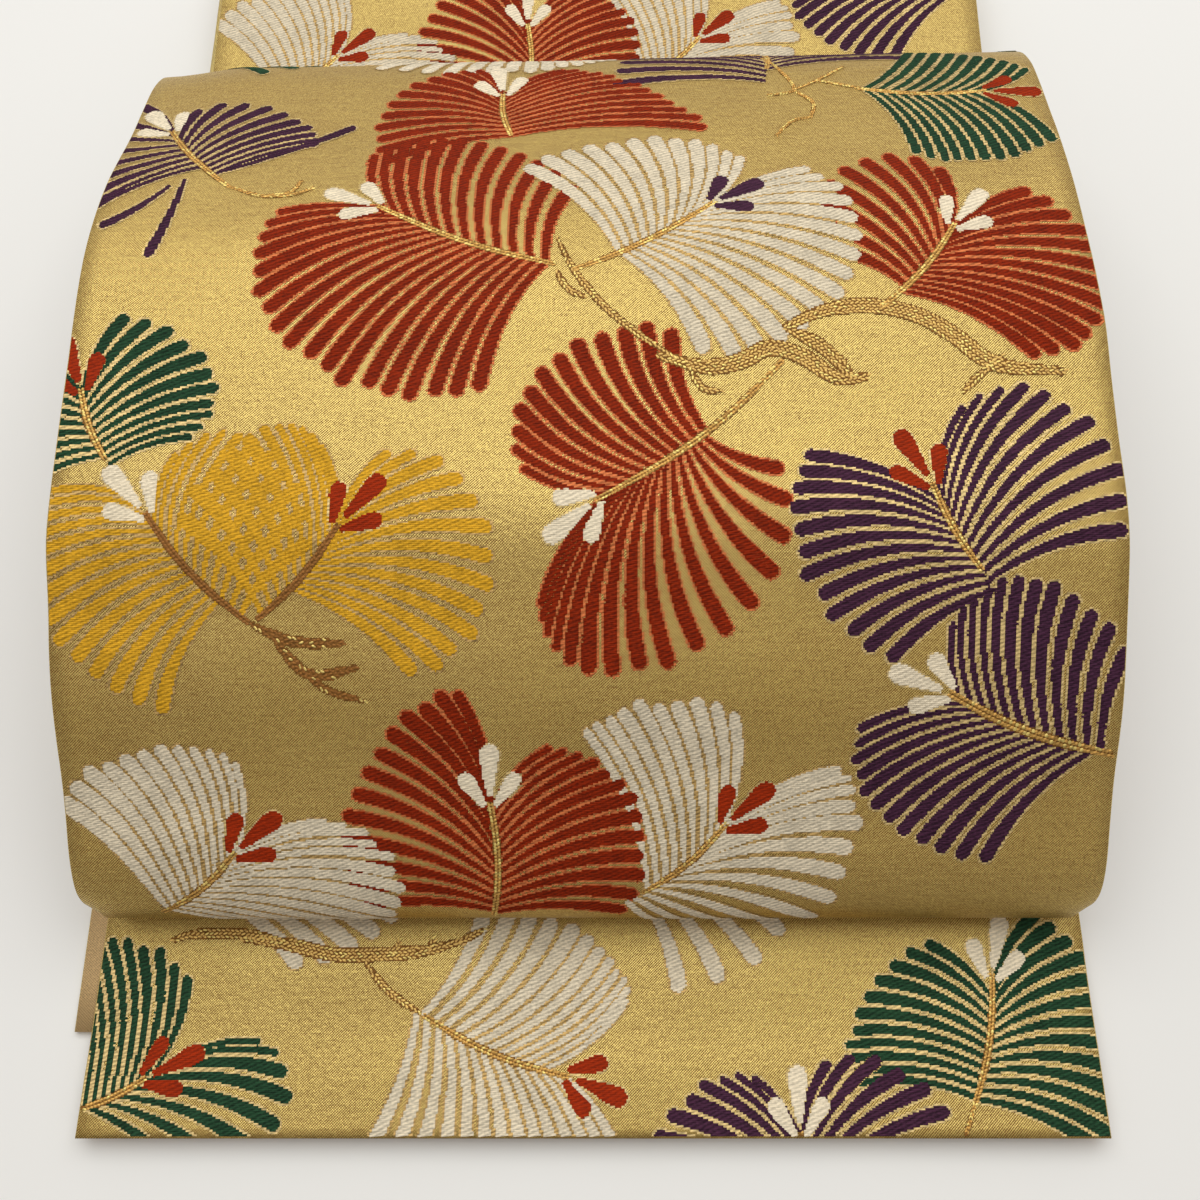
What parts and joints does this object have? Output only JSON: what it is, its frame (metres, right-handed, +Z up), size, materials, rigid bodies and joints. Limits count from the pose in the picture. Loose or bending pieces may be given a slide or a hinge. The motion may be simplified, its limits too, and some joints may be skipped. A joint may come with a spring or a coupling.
{
  "type": "obi sash",
  "caption": "Woven brocade obi sash folded in the drum form: a puffed loop over a square tail end, with a flat band behind and the rest folded flat beneath.",
  "frame": {"origin": "centre of the bounding box in plan, at the surface the folded sash lies on", "axes": "+X across the cloth to the viewer's right, +Y along the strip away from the tail end, +Z up from the surface"},
  "size_m": [0.318, 0.4644, 0.089],
  "materials": {
    "tare_brocade": "gold brocade with raised coloured pine fans",
    "return_brocade": "gold brocade, in shade",
    "drum_brocade": "gold brocade with raised coloured pine fans",
    "band_brocade": "gold brocade with raised coloured pine fans",
    "stack_brocade": "gold brocade seen at its folded edges",
    "te_reverse": "plain gold-brown reverse"
  },
  "bodies": {
    "root": {"tare": "tare_brocade", "inner_return": "return_brocade", "drum": "drum_brocade", "far_band": "band_brocade", "folded_stack": "stack_brocade", "te_end": "te_reverse"}
  },
  "joints": []
}
